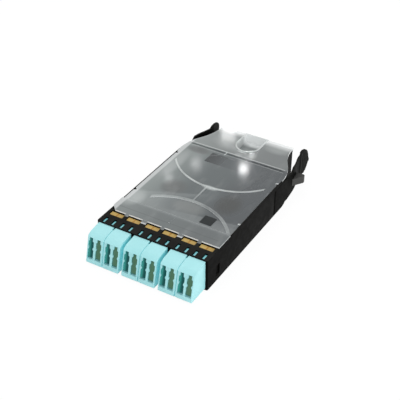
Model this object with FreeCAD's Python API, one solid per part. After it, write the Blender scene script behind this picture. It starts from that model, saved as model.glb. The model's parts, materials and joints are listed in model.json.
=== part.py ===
import FreeCAD, Part
import math
import os

os.makedirs("parts", exist_ok=True)

V = FreeCAD.Vector

# A fibre cassette. X runs across the front, Y from the front to the rear, Z up. Sizes are in mm.
# The pieces are drawn with Y = 0 at the tray's front face, and saved with the origin at the middle
# of the tray's underside.

# Ports and adapters
group_count = 3
adapters_in_group = 2
port_pitch = 6.25
port_divider = 1.05
port_side_wall = 0.3
adapter_side_wall = 0.575
pair_gap = 1.38
group_gap = 2.78
adapter_bottom = 0.6
adapter_top_drop = 0.9
nose_at_top = 12.95
nose_at_bottom = 18.4
nose_edge_radius = 2.6
nose_bottom_chamfer = 1.5
nose_corner_chamfer = 1.0
nose_side_chamfer = 0.4
land_width = 0.5
land_end = 2.5
adapter_rear = 15.6
adapter_fit = 0.2
shank_inset = 0.3
nib_height = 0.4
nib_length = 1.5
port_floor = 4.2
port_roof = 3.37
port_neck_width = 2.7
port_waist_width = 3.3
port_neck_drop = 3.2
port_shoulder_drop = 6.9
port_waist_drop = 8.6
port_body_drop = 9.4
port_ramp = 0.7
port_lip = 0.8
mid_wall_front = 5.2
mid_wall_thickness = 1.6

# Tray
tray_side_margin = 1.65
tray_height = 25.2
tray_length = 154.0
wall = 1.6
floor_thickness = 1.6
front_wall = 1.6
front_corner_radius = 1.0
shoulder_length = 44.0
shoulder_inset = 12.8
rim_width = 0.8
rim_taper = 8.0
strip_thickness = 1.2
strip_depth = 17.0
side_recess_depth = 1.1
side_recess_start = 11.5
side_recess_length = 5.0
side_recess_bottom = 4.0
side_recess_top = 13.0
fence_height = 3.4
fence_thickness = 1.4
slot_length = 5.8
slot_width = 2.2
slot_start = 0.9
slot_offset = 3.55

# Shutters
shutter_thickness = 0.6
shutter_side_gap = 0.15
shutter_top_gap = 0.35
shutter_tip_gap = 0.25
shutter_barrel_radius = 0.65
shutter_pin_radius = 0.4
shutter_pin_length = 0.35
pin_clearance = 0.05
shutter_lip_gap = 0.15
shutter_axis_drop = 0.75

# Alignment sleeves and inner plugs
sleeve_radius = 0.81
sleeve_bore = 0.62
sleeve_length = 6.8
sleeve_seat_radius = 1.6
sleeve_seat_length = 4.6
sleeve_gap = 0.02
ferrule_radius = 0.6
ferrule_length = 4.6
plug_side_gap = 0.35
plug_end_gap = 0.3
plug_length = 16.0
plug_chamfer = 0.6
boot_length = 9.0
boot_radius = 1.7
boot_tip_radius = 0.9
plug_arm_length = 9.0
plug_arm_thickness = 0.9
plug_arm_width = 2.2
plug_arm_rise = 3.6
plug_arm_start = 1.0

# Port markers, which lie on the adapters in windows of the front strip
label_length = 11.0
label_depth = 4.8
label_thickness = 0.4
label_start = 10.5
label_split = 0.5
label_split_depth = 0.15

# Cover
cover_thickness = 1.2
cover_gap = 0.1
cover_front = 15.7
cover_step_end = 31.0
cover_step_height = 1.0
cover_corner = 4.4
cover_step_ramp = 1.6
cover_rear_overhang = 1.0
cover_skirt = 3.4
pair_tab_width = 2.6
pair_tab_length = 1.7
group_tab_width = 4.0
group_tab_length = 3.0
ridge_height = 0.5
front_arc_radius = 48.5
front_arc_centre_x = 1.7
front_arc_apex_y = 53.5
front_arc_width = 2.2
front_arc_left = -28.0
ornament_x = 0.8
rear_arc_radius = 48.5
rear_arc_apex_from_rear = 79.5
rear_arc_width = 1.3
rear_arc_reach = 38.5
joining_rib_width = 1.2
short_rib_start = 21.8
short_rib_end = 29.0
groove_from_rear = 33.0
groove_width = 1.4
groove_depth = 0.45
groove_reach = 39.0
well_radius = 9.0
well_wall = 1.2
well_from_rear = 14.0
well_clearance = 2.2
well_rim = 0.5
front_snap_y = 45.5
rear_snap_from_shoulder = 21.0
rear_notch_from_shoulder = 6.5
snap_notch_length = 4.4
snap_notch_depth = 2.0
snap_leg_width = 5.0
snap_leg_thickness = 1.2
snap_leg_drop = 8.0
snap_nib = 0.5
snap_nib_height = 1.2
pad_size = 9.2
pad_thickness = 0.3
pad_x = 22.2
pad_y = 38.8

# Fan-out block, fibres and rear adapter
fanout_width = 38.6
fanout_from_rear = 48.5
fanout_depth = 13.0
fanout_top_gap = 0.4
fanout_plate = 1.6
fanout_leg = 3.0
fanout_comb_width = 20.0
fanout_comb_height = 8.4
fibre_radius = 0.45
fibre_pitch = 1.2
fibre_lead = 1.5
ribbon_width = 4.0
ribbon_height = 1.6
rear_adapter_width = 16.6
rear_adapter_height = 12.0
rear_adapter_bottom = 3.0
rear_adapter_length = 26.0
rear_adapter_stand = 3.2
rear_flange_width = 21.0
rear_flange_thickness = 1.4
rear_flange_rise = 1.0
rear_port_width = 12.6
rear_port_height = 7.8
rear_key_width = 3.2
rear_key_height = 1.2
rear_web = 1.0
rear_plug_gap = 0.2
rear_grip_count = 3
ribbon_round = 0.72
rear_plug_length = 22.0
rear_ferrule_width = 6.4
rear_ferrule_height = 2.5

# Side levers, catches and pins
lever_thickness = 1.4
lever_pivot_from_rear = 53.5
lever_floor_gap = 0.4
lever_roof_gap = 0.5
lever_top_drop = 0.2
lever_rise_from_rear = 26.5
lever_rise_run = 3.5
lever_bend_from_rear = 29.0
lever_bend_past_rear = 2.0
lever_bend_inset = 6.2
knuckle_radius = 1.6
hinge_pin_radius = 0.8
hinge_pin_top_gap = 0.6
pocket_front_room = 2.5
pocket_depth = 4.6
pocket_roof_thickness = 1.8
pocket_end_from_rear = 24.6
pad_tip_past_rear = 6.3
pad_length = 12.8
pad_bulge = 3.0
pad_hollow = 0.7
pad_tip_length = 2.8
pad_tip_round = 0.7
pad_rib_radius = 0.4
pad_rib_count = 4
neck_bottom = 7.4
neck_slope_from_rear = 33.5
neck_slope_run = 17.7
neck_slope_bottom = 5.4
leaf_root_run = 3.6
leaf_root_bottom = 6.2
leaf_heel_back = 5.3
leaf_heel_bottom = 6.2
leaf_low_bow_back = 1.1
leaf_low_bow_height = 10.6
leaf_tip_height = 16.5
leaf_high_bow_back = 1.9
leaf_high_bow_height = 22.6
leaf_crown_back = 7.8
leaf_crown_rise = 1.6
leaf_shoulder_back = 12.0
leaf_shoulder_bow_back = 10.2
leaf_shoulder_bow_rise = 1.1
catch_from_rear = 25.5
catch_length = 10.7
catch_crest_run = 8.9
catch_reach = 5.5
catch_bottom = 9.5
catch_top = 15.5
catch_bevel = 0.8

# Places worked out from the sizes above
lip = 0.001
over = 1.0
cavity_width = port_pitch - port_divider
port_width = cavity_width - 2 * port_side_wall
adapter_width = port_pitch + cavity_width + 2 * adapter_side_wall
pitch_in_group = adapter_width + pair_gap
pitch_between_groups = adapter_width + group_gap
pair_span = adapter_width + pitch_in_group
half_width = (group_count * pair_span + (group_count - 1) * group_gap) / 2 + tray_side_margin
cover_top = tray_height
cover_underside = cover_top - cover_thickness
front_top = cover_top + cover_step_height
adapter_top = tray_height - adapter_top_drop
port_top = adapter_top - port_roof
port_bottom = adapter_bottom + port_floor
nose_slope = (nose_at_bottom - nose_at_top) / (adapter_top - adapter_bottom)
nose_angle = math.atan(nose_slope)
shank_top = tray_height - strip_thickness - adapter_fit
shank_bottom = floor_thickness + adapter_fit
axis_z = (port_bottom + port_top - port_body_drop) / 2
adapter_count = group_count * adapters_in_group
shoulder_start = tray_length - shoulder_length
front_arc_centre_y = front_arc_apex_y - front_arc_radius
rear_arc_apex_y = tray_length - rear_arc_apex_from_rear
rear_arc_centre_y = rear_arc_apex_y + rear_arc_radius
groove_y = tray_length - groove_from_rear
well_centre_y = tray_length - well_from_rear
well_floor_top = rear_adapter_bottom + rear_adapter_height + well_clearance + well_wall
fanout_front = tray_length - fanout_from_rear
notch_places = (front_snap_y, shoulder_start - rear_notch_from_shoulder)
snap_places = (front_snap_y, shoulder_start - rear_snap_from_shoulder)
pocket_roof = cover_underside - pocket_roof_thickness
pocket_end = tray_length - pocket_end_from_rear
lever_arm_top = pocket_roof - lever_roof_gap
lever_pivot_y = tray_length - lever_pivot_from_rear
pocket_start = lever_pivot_y - pocket_front_room
lever_bend_start = tray_length - lever_bend_from_rear
lever_bend_end = tray_length + lever_bend_past_rear
lever_rise_start = tray_length - lever_rise_from_rear
lever_rise_end = lever_rise_start + lever_rise_run
neck_slope_start = tray_length - neck_slope_from_rear
neck_slope_end = neck_slope_start + neck_slope_run
pad_tip_y = tray_length + pad_tip_past_rear
pad_root_y = pad_tip_y - pad_length
catch_start = tray_length - catch_from_rear
catch_end = catch_start + catch_length
catch_crest = catch_start + catch_crest_run


def adapter_centres():
    """The X of each adapter's middle: pairs at one pitch, groups at another."""
    places = []
    x = 0.0
    for number in range(adapter_count):
        places.append(x)
        same_group = (number + 1) % adapters_in_group
        x += pitch_in_group if same_group else pitch_between_groups
    middle = (places[0] + places[-1]) / 2
    return [place - middle for place in places]


def box(x0, x1, y0, y1, z0, z1):
    """A block between two corners."""
    return Part.makeBox(x1 - x0, y1 - y0, z1 - z0, V(x0, y0, z0))


def rod(radius, start, direction, length):
    """A round bar from a point along a direction."""
    return Part.makeCylinder(radius, length, start, direction)


def outline_face(edges):
    """A flat face inside a closed run of edges."""
    return Part.Face(Part.Wire(Part.__sortEdges__(edges)))


def polygon_face(points):
    """A flat face inside straight sides."""
    return Part.Face(Part.makePolygon(list(points) + [points[0]]))


def plan_prism(points, z0, z1):
    """An upright prism over a plan outline with straight sides."""
    face = polygon_face([V(x, y, z0) for x, y in points])
    return face.extrude(V(0, 0, z1 - z0))


def side_prism(points, x0, x1):
    """A prism along X over a side outline of (y, z) points."""
    face = polygon_face([V(x0, y, z) for y, z in points])
    return face.extrude(V(x1 - x0, 0, 0))


def mirrored(shape):
    """The same shape on the other side of the middle plane."""
    return shape.mirror(V(0, 0, 0), V(1, 0, 0))


def tangent_pair(start, end):
    """Two equal arcs that leave and arrive along Y, from start to end, as in a shallow S."""
    (x0, y0, z), (x1, y1, _) = start, end
    shift = abs(x1 - x0)
    run = y1 - y0
    radius = (run ** 2 + shift ** 2) / (4 * shift)
    side = 1 if x1 > x0 else -1
    half_turn = math.asin(run / 2 / radius) / 2
    inset = radius * (1 - math.cos(half_turn))
    along = radius * math.sin(half_turn)
    middle = V((x0 + x1) / 2, (y0 + y1) / 2, z)
    first = Part.Arc(V(x0, y0, z), V(x0 + side * inset, y0 + along, z), middle)
    second = Part.Arc(middle, V(x1 - side * inset, y1 - along, z), V(x1, y1, z))
    return [first.toShape(), second.toShape()]


def line(start, end):
    """A straight edge."""
    return Part.LineSegment(start, end).toShape()


def body_outline(inset, rear, z):
    """The tray's plan outline moved inwards: straight sides, curved shoulders, straight rear."""
    side = half_width - inset
    tail = side - shoulder_inset
    bend_start = shoulder_start - inset / 2
    bend_end = tray_length - inset / 2
    right = tangent_pair((side, bend_start, z), (tail, bend_end, z))
    left = tangent_pair((-side, bend_start, z), (-tail, bend_end, z))
    edges = [line(V(-side, inset, z), V(side, inset, z))]
    edges += [line(V(side, inset, z), V(side, bend_start, z))] + right
    edges += [line(V(-side, inset, z), V(-side, bend_start, z))] + left
    if rear > bend_end:
        edges += [line(V(tail, bend_end, z), V(tail, rear, z))]
        edges += [line(V(-tail, bend_end, z), V(-tail, rear, z))]
        bend_end = rear
    edges += [line(V(tail, bend_end, z), V(-tail, bend_end, z))]
    return outline_face(edges)


def body_slab(inset, z0, z1, rear=0.0):
    """A slab with the tray's plan outline."""
    return body_outline(inset, rear, z0).extrude(V(0, 0, z1 - z0))


def ring_arc(radius, centre, width, z1):
    """A round upright band about a centre, from the centre's height up to z1."""
    up = V(0, 0, 1)
    outer = rod(radius + width / 2, centre, up, z1 - centre.z)
    return outer.cut(rod(radius - width / 2, centre, up, z1 - centre.z))


def front_arc_band(width, z0, z1):
    """The band of the cover's front arc, cut off at its left end and behind the front step."""
    centre = V(front_arc_centre_x, front_arc_centre_y, z0)
    band = ring_arc(front_arc_radius, centre, width, z1)
    window = box(front_arc_left, half_width, cover_step_end, tray_length, z0, z1)
    return band.common(window)


def rear_arc_band(width, z0, z1):
    """The band of the cover's rear arc, the half that faces the front."""
    band = ring_arc(rear_arc_radius, V(ornament_x, rear_arc_centre_y, z0), width, z1)
    return band.common(box(-rear_arc_reach, rear_arc_reach, 0, rear_arc_centre_y, z0, z1))


def lever_pocket():
    """The hollow in the right side wall where the lever's arm lies and turns."""
    outer = half_width + wall
    inner = half_width - pocket_depth
    return box(inner, outer, pocket_start, pocket_end, floor_thickness, pocket_roof)


def pocket_wall():
    """The inner wall behind the right pocket, joined to the side wall and the shoulder."""
    inner = half_width - pocket_depth
    back = box(inner - wall, inner, pocket_start - wall, pocket_end, floor_thickness, pocket_roof)
    front = box(inner - wall, half_width - lip, pocket_start - wall, pocket_start,
                floor_thickness, pocket_roof)
    roof = box(inner - wall, half_width - lip, pocket_start - wall, pocket_end,
               pocket_roof, cover_underside)
    return back.fuse([front, roof]).common(body_slab(0, 0, cover_underside))


def hinge_pin_top():
    """The height of the hinge pin's upper end, inside the roof of the pocket."""
    return cover_underside - hinge_pin_top_gap


def hinge_axis_x():
    """The X of the right lever's hinge: its knuckle is flush with the side."""
    return half_width - knuckle_radius


def front_corner():
    """What a soft upright corner takes off the tray's right front edge."""
    radius = front_corner_radius
    block = box(half_width - radius, half_width + over, -over, radius, -over, tray_height + over)
    return block.cut(rod(radius, V(half_width - radius, radius, -over), V(0, 0, 1),
                         tray_height + 2 * over))


def side_recess():
    """The shallow window in the right side wall near the front."""
    face = half_width - side_recess_depth
    end = side_recess_start + side_recess_length
    return box(face, half_width + wall, side_recess_start, end, side_recess_bottom, side_recess_top)


def snap_hole(y):
    """The hole in the right wall that a cover leg's nib enters."""
    inner = half_width - wall
    middle = cover_underside - snap_leg_drop + snap_nib_height
    return box(inner - wall, inner + snap_nib + 2 * cover_gap, y - snap_leg_width / 2 - cover_gap,
               y + snap_leg_width / 2 + cover_gap, middle - snap_nib_height - cover_gap,
               middle + snap_nib_height + cover_gap)


def port_places():
    """The X of every port's middle, from left to right."""
    places = []
    for centre in adapter_centres():
        places += [centre - port_pitch / 2, centre + port_pitch / 2]
    return places


def label_box(centre, z0, z1, grow=0.0):
    """The block of a port marker on one adapter, or of its window in the strip."""
    half = label_length / 2 + grow
    return box(centre - half, centre + half, label_start - grow, label_start + label_depth + grow,
               z0, z1)


def rim_plan(gap):
    """The plan inside the tray's rim as (x, y): straight sides that widen to the shoulders."""
    side = half_width - rim_width - gap
    taper_start = shoulder_start - rim_taper
    full = shoulder_start + gap * rim_taper / rim_width
    rear = tray_length + cover_rear_overhang + over
    half = [(side, 0), (side, taper_start), (half_width, full), (half_width, rear)]
    return half + [(-x, y) for x, y in reversed(half)]


def base_tray():
    """The open tray with its front wall, front strip, shoulders, lever pockets and fences."""
    shell = body_slab(0, 0, cover_underside)
    rim = body_slab(0, cover_underside, tray_height)
    rim = rim.cut(plan_prism(rim_plan(0), cover_underside, tray_height))
    hollow = body_slab(wall, floor_thickness, cover_underside)
    hollow = hollow.common(box(-half_width, half_width, 0, tray_length - wall, 0, tray_height))
    shell = shell.cut(hollow)
    strip = box(-half_width, half_width, 0, strip_depth, cover_underside, tray_height)
    front_fill = box(-half_width, half_width, 0, front_wall, 0, cover_underside)
    pockets = lever_pocket()
    walls = pocket_wall()
    tray = shell.fuse([rim, strip, front_fill, walls, mirrored(walls)])
    tray = tray.cut([pockets, mirrored(pockets)])
    floor = body_slab(0, 0, floor_thickness)
    tray = tray.fuse(floor)
    fences = front_arc_band(fence_thickness, floor_thickness - lip, floor_thickness + fence_height)
    rear_fence = rear_arc_band(fence_thickness, floor_thickness - lip,
                               floor_thickness + fence_height)
    inside = body_slab(wall + cover_gap, 0, tray_height)
    tray = tray.fuse([fences.common(inside), rear_fence.common(inside)])
    cuts = [side_recess(), mirrored(side_recess()), front_corner(), mirrored(front_corner())]
    for y in snap_places:
        cuts += [snap_hole(y), mirrored(snap_hole(y))]
    half_window = adapter_width / 2 - shank_inset + adapter_fit / 2
    half_relief = half_window + nib_height
    for centre in adapter_centres():
        cuts.append(box(centre - half_window, centre + half_window, -over, front_wall + over,
                        shank_bottom - adapter_fit / 2, shank_top + adapter_fit / 2))
        cuts.append(box(centre - half_relief, centre + half_relief, front_wall,
                        front_wall + nib_length + 2 * adapter_fit, shank_bottom, shank_top))
        cuts.append(label_box(centre, cover_underside - over, tray_height + over, cover_gap))
        for x in (centre - slot_offset, centre + slot_offset):
            cuts.append(box(x - slot_width / 2, x + slot_width / 2, slot_start,
                            slot_start + slot_length, cover_underside - over, tray_height + over))
    hinge = V(hinge_axis_x(), lever_pivot_y, 0)
    bore = rod(hinge_pin_radius, hinge, V(0, 0, 1), hinge_pin_top())
    cuts += [bore, mirrored(bore), rear_window()]
    return tray.cut(cuts).removeSplitter()


def rear_window():
    """The way through the rear wall for the rear adapter and the cover's well."""
    half = rear_adapter_width / 2 + cover_gap
    opening = box(-half, half, tray_length - 2 * wall, tray_length + over,
                  rear_adapter_bottom - cover_gap,
                  rear_adapter_bottom + rear_adapter_height + cover_gap)
    notch_half = well_radius + well_wall + cover_gap
    notch_bottom = well_floor_top - well_wall - cover_gap
    notch = box(-notch_half, notch_half, tray_length - 2 * wall, tray_length + over,
                notch_bottom, tray_height + over)
    return opening.fuse(notch)


def well_prism(radius, z0, z1, rear):
    """A round-nosed upright prism over the rear adapter, straight at the rear."""
    nose = rod(radius, V(0, well_centre_y, z0), V(0, 0, 1), z1 - z0)
    tail = box(-radius, radius, well_centre_y, rear, z0, z1)
    return nose.fuse(tail).removeSplitter()


def snap_leg(y):
    """A leg of the cover with its nib, on the right side."""
    outer = half_width - wall - cover_gap
    bottom = cover_underside - snap_leg_drop
    y0 = y - snap_leg_width / 2
    y1 = y + snap_leg_width / 2
    leg = box(outer - snap_leg_thickness, outer, y0, y1, bottom, cover_underside + lip)
    nib_top = bottom + 2 * snap_nib_height
    nib = polygon_face([V(outer, y0, bottom), V(outer + snap_nib, y0, nib_top), V(outer, y0, nib_top)])
    return leg.fuse(nib.extrude(V(0, y1 - y0, 0)))


def snap_notch(y):
    """The three-cornered notch in the cover's right edge beside a leg."""
    edge = half_width
    tip = half_width - rim_width - snap_notch_depth
    return plan_prism([(edge, y - snap_notch_length / 2), (edge, y + snap_notch_length / 2),
                       (tip, y + snap_notch_length / 4), (tip, y)],
                      cover_underside - over, tray_height + over)


def cover_front_part():
    """The raised front part of the cover with its cut left corner, tabs and short rib."""
    half = half_width - cover_gap
    points = [(-half + cover_corner, cover_front), (half, cover_front), (half, cover_step_end),
              (-half, cover_step_end), (-half, cover_front + cover_corner)]
    part = plan_prism(points, tray_height, front_top)
    part = part.fuse(side_prism([(cover_step_end - lip, tray_height - cover_thickness),
                                 (cover_step_end - lip, front_top),
                                 (cover_step_end + cover_step_ramp, tray_height),
                                 (cover_step_end + cover_step_ramp, cover_underside)],
                                -half + rim_width, half - rim_width))
    part = part.fuse(front_tabs())
    rib = box(ornament_x - joining_rib_width / 2, ornament_x + joining_rib_width / 2,
              short_rib_start, short_rib_end, front_top - lip, front_top + ridge_height / 2)
    return part.fuse(rib)


def front_tabs():
    """The cover's sloping front tabs over the gaps between the adapters, longer between groups."""
    centres = adapter_centres()
    tabs = []
    for number, (left, right) in enumerate(zip(centres, centres[1:]), 1):
        in_group = number % adapters_in_group
        width = pair_tab_width if in_group else group_tab_width
        tip = cover_front - (pair_tab_length if in_group else group_tab_length)
        middle = (left + right) / 2
        tabs.append(side_prism([(cover_front + lip, tray_height), (cover_front + lip, front_top),
                                (tip, tray_height + cover_gap), (tip, tray_height)],
                               middle - width / 2, middle + width / 2))
    return tabs


def clear_cover():
    """The snap-on cover: plate, raised front, skirt, ridges, groove, rear well and legs."""
    rear = tray_length + cover_rear_overhang
    inside_rim = plan_prism(rim_plan(cover_gap), cover_underside, cover_top + over)
    plate = body_slab(0, cover_underside, cover_top, rear).common(inside_rim)
    plate = plate.cut(box(-half_width, half_width, 0, cover_step_end, cover_underside - over,
                          cover_top + over))
    tail = half_width - shoulder_inset
    skirt = box(-tail, tail, tray_length + cover_gap, rear, cover_top - cover_skirt, cover_top)
    cover = plate.fuse([skirt, cover_front_part()])
    top = cover_top - lip
    front_ridge = front_arc_band(front_arc_width, top, cover_top + ridge_height)
    rear_ridge = rear_arc_band(rear_arc_width, top, cover_top + ridge_height)
    joining = box(ornament_x - joining_rib_width / 2, ornament_x + joining_rib_width / 2,
                  front_arc_apex_y, rear_arc_apex_y, top, cover_top + ridge_height)
    bounds = body_slab(0, cover_underside, cover_top + over).common(inside_rim)
    outer_well = well_prism(well_radius + well_wall, well_floor_top - well_wall,
                            cover_top + well_rim, rear)
    cover = cover.fuse([front_ridge.common(bounds), rear_ridge.common(bounds), joining, outer_well])
    cuts = [well_prism(well_radius, well_floor_top, cover_top + over, rear - well_wall)]
    cuts.append(box(-groove_reach, groove_reach, groove_y - groove_width / 2,
                    groove_y + groove_width / 2, cover_top - groove_depth, cover_top + over))
    for y in notch_places:
        cuts += [snap_notch(y), mirrored(snap_notch(y))]
    cover = cover.cut(cuts)
    legs = []
    for y in snap_places:
        legs += [snap_leg(y), mirrored(snap_leg(y))]
    return cover.fuse(legs).removeSplitter()


def port_outline(grow=0.0):
    """The keyhole outline of a port as (x, z): narrow top, shoulders, waist and wide body."""
    neck = port_neck_width / 2 + grow
    waist = port_waist_width / 2 + grow
    side = port_width / 2 + grow
    top = port_top + grow
    shoulder = port_top - port_neck_drop
    waist_top = port_top - port_shoulder_drop
    waist_end = port_top - port_waist_drop
    body = port_top - port_body_drop
    half = [(neck, top), (neck, shoulder + port_ramp), (side, shoulder), (side, waist_top),
            (waist, waist_top - port_ramp), (waist, waist_end), (side, body),
            (side, port_bottom - grow)]
    return half + [(-x, z) for x, z in reversed(half)]


def port_cut(x):
    """The keyhole channel, cut back from in front of the nose."""
    face = polygon_face([V(x + px, -2 * nose_at_bottom, pz) for px, pz in port_outline()])
    return face.extrude(V(0, 2 * nose_at_bottom + shutter_axis_y(), 0))


def nose_y(z):
    """The Y of the slanted nose at a height."""
    return -nose_at_bottom + (z - adapter_bottom) * nose_slope


def shutter_axis_z():
    """The height of a shutter's hinge."""
    return port_top - shutter_axis_drop


def shutter_axis_y():
    """The Y of a shutter's hinge, behind the lip of the port."""
    behind = port_lip + shutter_lip_gap + shutter_barrel_radius
    return nose_y(shutter_axis_z()) + behind / math.cos(nose_angle)


def slanted(points):
    """Side outline points given as (depth behind the nose, height)."""
    return [(nose_y(z) + depth / math.cos(nose_angle), z) for depth, z in points]


def front_cavity(x):
    """The room behind the port's lip where the shutter swings."""
    ceiling = port_top + shutter_top_gap
    points = slanted([(port_lip, port_bottom), (port_lip, ceiling)])
    points += [(mid_wall_front, ceiling), (mid_wall_front, port_bottom)]
    return side_prism(points, x - cavity_width / 2, x + cavity_width / 2)


def rear_cavity(x):
    """The room behind the middle wall for an inner plug."""
    start = mid_wall_front + mid_wall_thickness
    return box(x - cavity_width / 2, x + cavity_width / 2, start, adapter_rear + over,
               port_bottom, port_top)


def sleeve_centre_y():
    """The Y of the middle of the alignment sleeves."""
    return mid_wall_front + mid_wall_thickness / 2


def adapter(centre, partner_side):
    """A duplex adapter: slanted nose, shank through the tray's window, cavities and seats."""
    half = adapter_width / 2
    land = half + land_width
    left = centre - (half if partner_side > 0 else land)
    right = centre + (land if partner_side > 0 else half)
    edge = centre + partner_side * half
    root = box(min(edge, edge + partner_side * over), max(edge, edge + partner_side * over),
               -land_end, over, 0, tray_height)
    nose = nose_block(left, right).cut(root)
    shank_half = half - shank_inset
    shank = box(centre - shank_half, centre + shank_half, -lip, adapter_rear, shank_bottom, shank_top)
    nib_y = front_wall + adapter_fit
    nib_span = shank_half + nib_height
    nibs = plan_prism([(centre - shank_half, nib_y), (centre - nib_span, nib_y),
                       (centre - shank_half, nib_y + nib_length),
                       (centre + shank_half, nib_y + nib_length),
                       (centre + nib_span, nib_y), (centre + shank_half, nib_y)],
                      shank_bottom + nib_length, shank_top - nib_length)
    solid = nose.fuse([shank, nibs])
    for x in (centre - port_pitch / 2, centre + port_pitch / 2):
        solid = solid.cut([port_cut(x), front_cavity(x), rear_cavity(x)])
        seat_start = sleeve_centre_y() - sleeve_seat_length / 2
        seat = rod(sleeve_seat_radius, V(x, seat_start, axis_z), V(0, 1, 0), sleeve_seat_length)
        bore = rod(sleeve_radius + sleeve_gap, V(x, seat_start - over, axis_z), V(0, 1, 0),
                   sleeve_seat_length + 2 * over)
        pin_half = cavity_width / 2 + shutter_pin_length
        pivot = rod(shutter_pin_radius + pin_clearance, V(x - pin_half, shutter_axis_y(),
                    shutter_axis_z()), V(1, 0, 0), 2 * pin_half)
        solid = solid.fuse(seat).cut([bore, pivot])
    return solid.removeSplitter()


def nose_block(x0, x1):
    """The slanted nose in front of the tray: bevelled below, rounded above, soft upright edges."""
    radius = nose_edge_radius
    bevel = nose_bottom_chamfer
    turn = math.pi / 2 + nose_angle
    reach = radius * math.tan(turn / 2)
    front_top = V(x0, nose_y(adapter_top), adapter_top)
    along = V(0, -math.sin(nose_angle), -math.cos(nose_angle))
    arc_low = front_top + along * reach
    arc_high = front_top + V(0, reach, 0)
    to_centre = (arc_low + arc_high) * 0.5 - front_top
    depth = radius / math.cos(turn / 2) - radius
    arc_middle = front_top + to_centre * (depth / to_centre.Length)
    low_front = V(x0, nose_y(adapter_bottom + bevel), adapter_bottom + bevel)
    low_back = V(x0, nose_y(adapter_bottom) + bevel, adapter_bottom)
    edges = [Part.Arc(arc_low, arc_middle, arc_high).toShape(),
             line(arc_high, V(x0, 0, adapter_top)),
             line(V(x0, 0, adapter_top), V(x0, 0, adapter_bottom)),
             line(V(x0, 0, adapter_bottom), low_back), line(low_back, low_front),
             line(low_front, arc_low)]
    corner = nose_corner_chamfer
    front = [(x0, adapter_bottom + corner), (x0 + corner, adapter_bottom),
             (x1 - corner, adapter_bottom), (x1, adapter_bottom + corner), (x1, adapter_top),
             (x0, adapter_top)]
    front_face = polygon_face([V(x, -2 * nose_at_bottom, z) for x, z in front])
    nose = outline_face(edges).extrude(V(x1 - x0, 0, 0))
    nose = nose.common(front_face.extrude(V(0, 2 * nose_at_bottom, 0)))
    upright = [e for e in nose.Edges if e.BoundBox.ZLength > adapter_top / 2
               and e.BoundBox.YMax < -lip and e.BoundBox.XLength < lip]
    return nose.makeChamfer(nose_side_chamfer, upright)


def shutter(x):
    """A port's shutter: a flap that hangs from a barrel with a stub pin at each end."""
    axis_y = shutter_axis_y()
    pivot_z = shutter_axis_z()
    half = cavity_width / 2 - shutter_side_gap
    length = pivot_z - port_bottom - shutter_tip_gap
    face = -shutter_barrel_radius
    flap = box(x - half, x + half, face, face + shutter_thickness, -length, 0)
    flap.rotate(V(0, 0, 0), V(1, 0, 0), -math.degrees(nose_angle))
    flap.translate(V(0, axis_y, pivot_z))
    barrel = rod(shutter_barrel_radius, V(x - half, axis_y, pivot_z), V(1, 0, 0), 2 * half)
    pin_half = cavity_width / 2 + shutter_pin_length - shutter_side_gap / 2
    pin = rod(shutter_pin_radius, V(x - pin_half, axis_y, pivot_z), V(1, 0, 0), 2 * pin_half)
    return flap.fuse([barrel, pin]).removeSplitter()


def sleeve(x):
    """A ceramic alignment sleeve."""
    start = sleeve_centre_y() - sleeve_length / 2
    tube = rod(sleeve_radius, V(x, start, axis_z), V(0, 1, 0), sleeve_length)
    bore = rod(sleeve_bore, V(x, start - over, axis_z), V(0, 1, 0), sleeve_length + 2 * over)
    return tube.cut(bore)


def inner_plug_start():
    """The Y where an inner plug's body begins, just behind the sleeve seat."""
    return sleeve_centre_y() + sleeve_length / 2 + plug_end_gap


def inner_plug(x):
    """A simplex plug behind an adapter: ferrule, body, latch arm and tapered boot."""
    half = port_width / 2 - plug_side_gap
    start = inner_plug_start()
    end = start + plug_length
    low = port_bottom + plug_end_gap
    high = port_top - port_body_drop - plug_end_gap
    body = box(x - half, x + half, start, end, low, high)
    body = body.makeChamfer(plug_chamfer, [e for e in body.Edges if e.BoundBox.YLength > lip])
    reach = ferrule_length + plug_end_gap
    ferrule = rod(ferrule_radius, V(x, start - reach, axis_z), V(0, 1, 0), reach + lip)
    boot = Part.makeCone(boot_radius, boot_tip_radius, boot_length, V(x, end - lip, axis_z), V(0, 1, 0))
    arm_half = plug_arm_width / 2
    arm_start = start + plug_arm_start
    arm_end = arm_start + plug_arm_length
    arm = side_prism([(arm_start, high - lip), (arm_end, high + plug_arm_rise),
                      (arm_end, high + plug_arm_rise - plug_arm_thickness),
                      (arm_start + 2 * plug_arm_thickness, high - lip)], x - arm_half, x + arm_half)
    bore_start = V(x, end + boot_length - fibre_lead, axis_z)
    bore = rod(fibre_radius, bore_start, V(0, 1, 0), fibre_lead + over)
    return body.fuse([ferrule, boot, arm]).cut(bore).removeSplitter()


def fibre_path(start_x, start_y, end_x, end_y):
    """Straight in and out with a shallow S of two arcs between."""
    first = start_y + fibre_lead
    last = end_y - fibre_lead
    edges = [line(V(start_x, start_y, axis_z), V(start_x, first, axis_z))]
    edges += tangent_pair((start_x, first, axis_z), (end_x, last, axis_z))
    edges += [line(V(end_x, last, axis_z), V(end_x, end_y, axis_z))]
    return Part.Wire(edges)


def fibre_places():
    """The X of each fibre at the fan-out block."""
    count = len(port_places())
    return [(number - (count - 1) / 2) * fibre_pitch for number in range(count)]


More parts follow.
